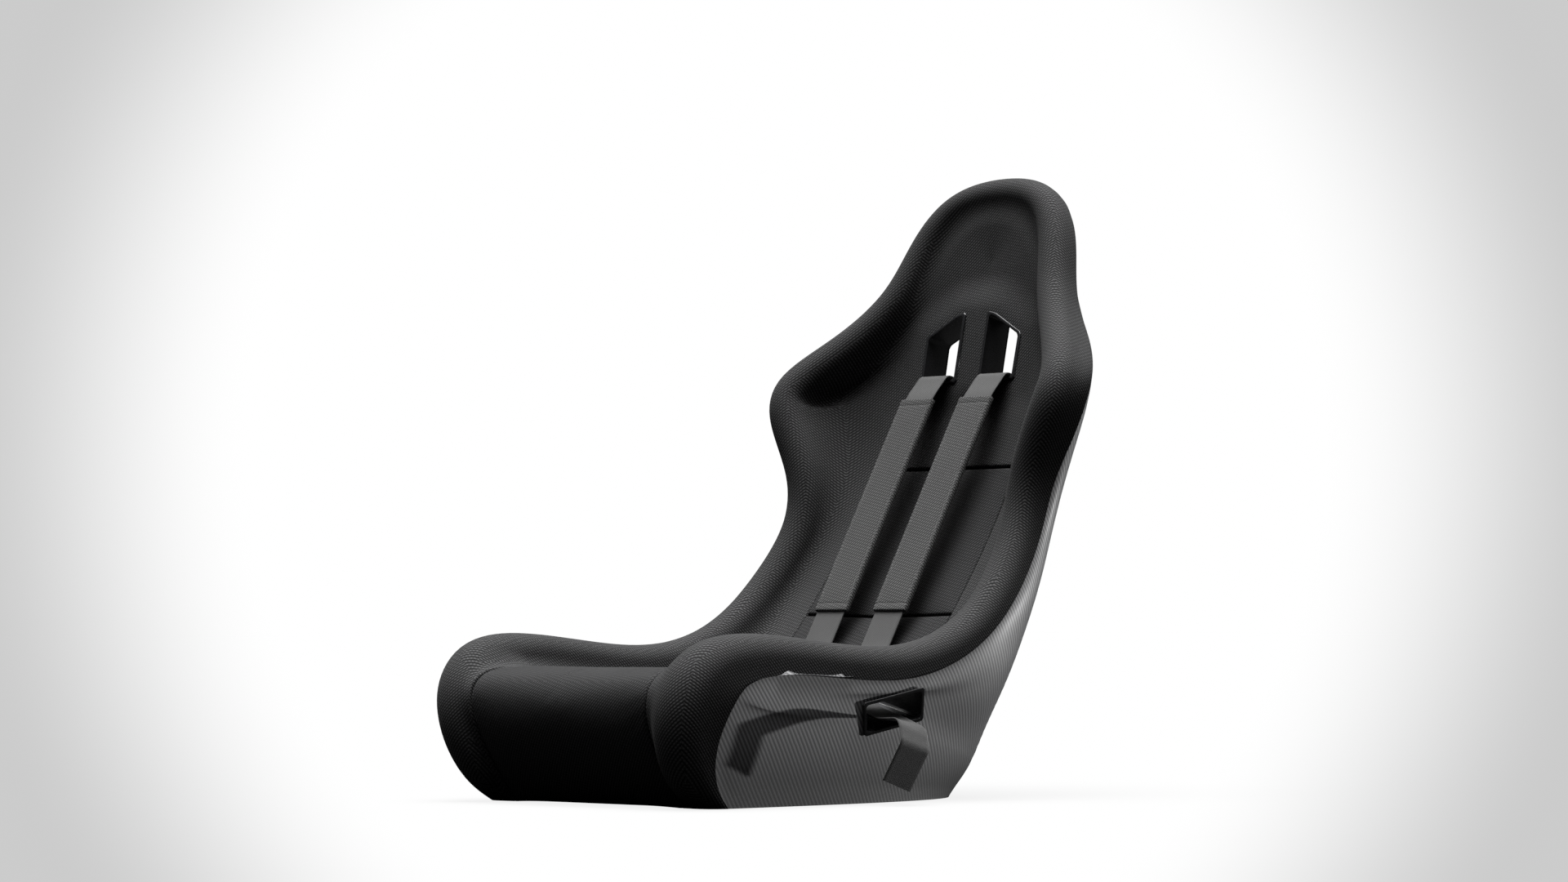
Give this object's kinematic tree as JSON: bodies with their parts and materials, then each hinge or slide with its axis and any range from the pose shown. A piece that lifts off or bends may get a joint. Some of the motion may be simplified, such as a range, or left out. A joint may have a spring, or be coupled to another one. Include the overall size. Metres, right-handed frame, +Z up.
{
  "type": "racing seat",
  "caption": "Fixed-back racing bucket seat: composite twill shell, dark fabric cover and cushions, and a harness with sliding shoulder pads and a rotary buckle.",
  "frame": {"origin": "on the floor plane, on the seat's plane of symmetry, inside the foot", "axes": "+Z up, -Y towards the front edge of the seat, +X to the occupant's left"},
  "size_m": [0.5966, 0.8252, 0.8097],
  "materials": {
    "composite": "clear-coated dark twill composite",
    "panel": "matt laminate",
    "insert": "plated",
    "trim": "dark technical twill weave",
    "foam": "closed-cell foam",
    "tape": "hook-and-loop tape",
    "bezel": "satin",
    "webbing": "woven polyester webbing",
    "pad": "woven sleeve",
    "lap_webbing": "woven polyester webbing",
    "steel": "brushed",
    "buckle": "dark anodised",
    "knob": "satin"
  },
  "bodies": {
    "seat": {"shell": "composite", "base_panel": "panel", "base_insert_front_left": "insert", "base_insert_front_right": "insert", "base_insert_rear_left": "insert", "base_insert_rear_right": "insert", "cover": "trim", "seat_cushion": "trim", "back_cushion_lower": "trim", "back_cushion_middle": "trim", "bolster_foam_left": "foam", "bolster_foam_right": "foam", "head_foam": "foam", "tape_seat_cushion_left": "tape", "tape_seat_cushion_right": "tape", "tape_back_cushion_lower_left": "tape", "tape_back_cushion_lower_right": "tape", "tape_back_cushion_middle_left": "tape", "tape_back_cushion_middle_right": "tape", "shoulder_slot_bezel_left": "bezel", "shoulder_slot_bezel_right": "bezel", "shoulder_slot_ring_left": "bezel", "shoulder_slot_ring_right": "bezel", "lap_slot_bezel_left": "bezel", "lap_slot_bezel_right": "bezel", "shoulder_strap_left": "webbing", "shoulder_strap_right": "webbing", "lap_strap_left": "lap_webbing", "lap_strap_right": "lap_webbing", "lap_tongue_left": "steel", "lap_tongue_right": "steel", "shoulder_tongue_left": "steel", "shoulder_tongue_right": "steel", "buckle_body": "buckle"},
    "pad_left": {"shoulder_pad_left": "pad"},
    "pad_right": {"shoulder_pad_right": "pad"},
    "knob": {"buckle_knob": "knob"}
  },
  "joints": [
    {"name": "pad_left_slide", "type": "slide", "parent": "seat", "child": "pad_left", "axis": [0, 0.5012, 0.8654], "range_m": [-0.04, 0]},
    {"name": "pad_right_slide", "type": "slide", "parent": "seat", "child": "pad_right", "axis": [0, 0.5012, 0.8654], "range_m": [-0.04, 0]},
    {"name": "knob_turn", "type": "hinge", "parent": "seat", "child": "knob", "pos_m": [0, 0.05, 0.129], "axis": [0, 0, 1], "range_deg": [-30, 30]}
  ]
}
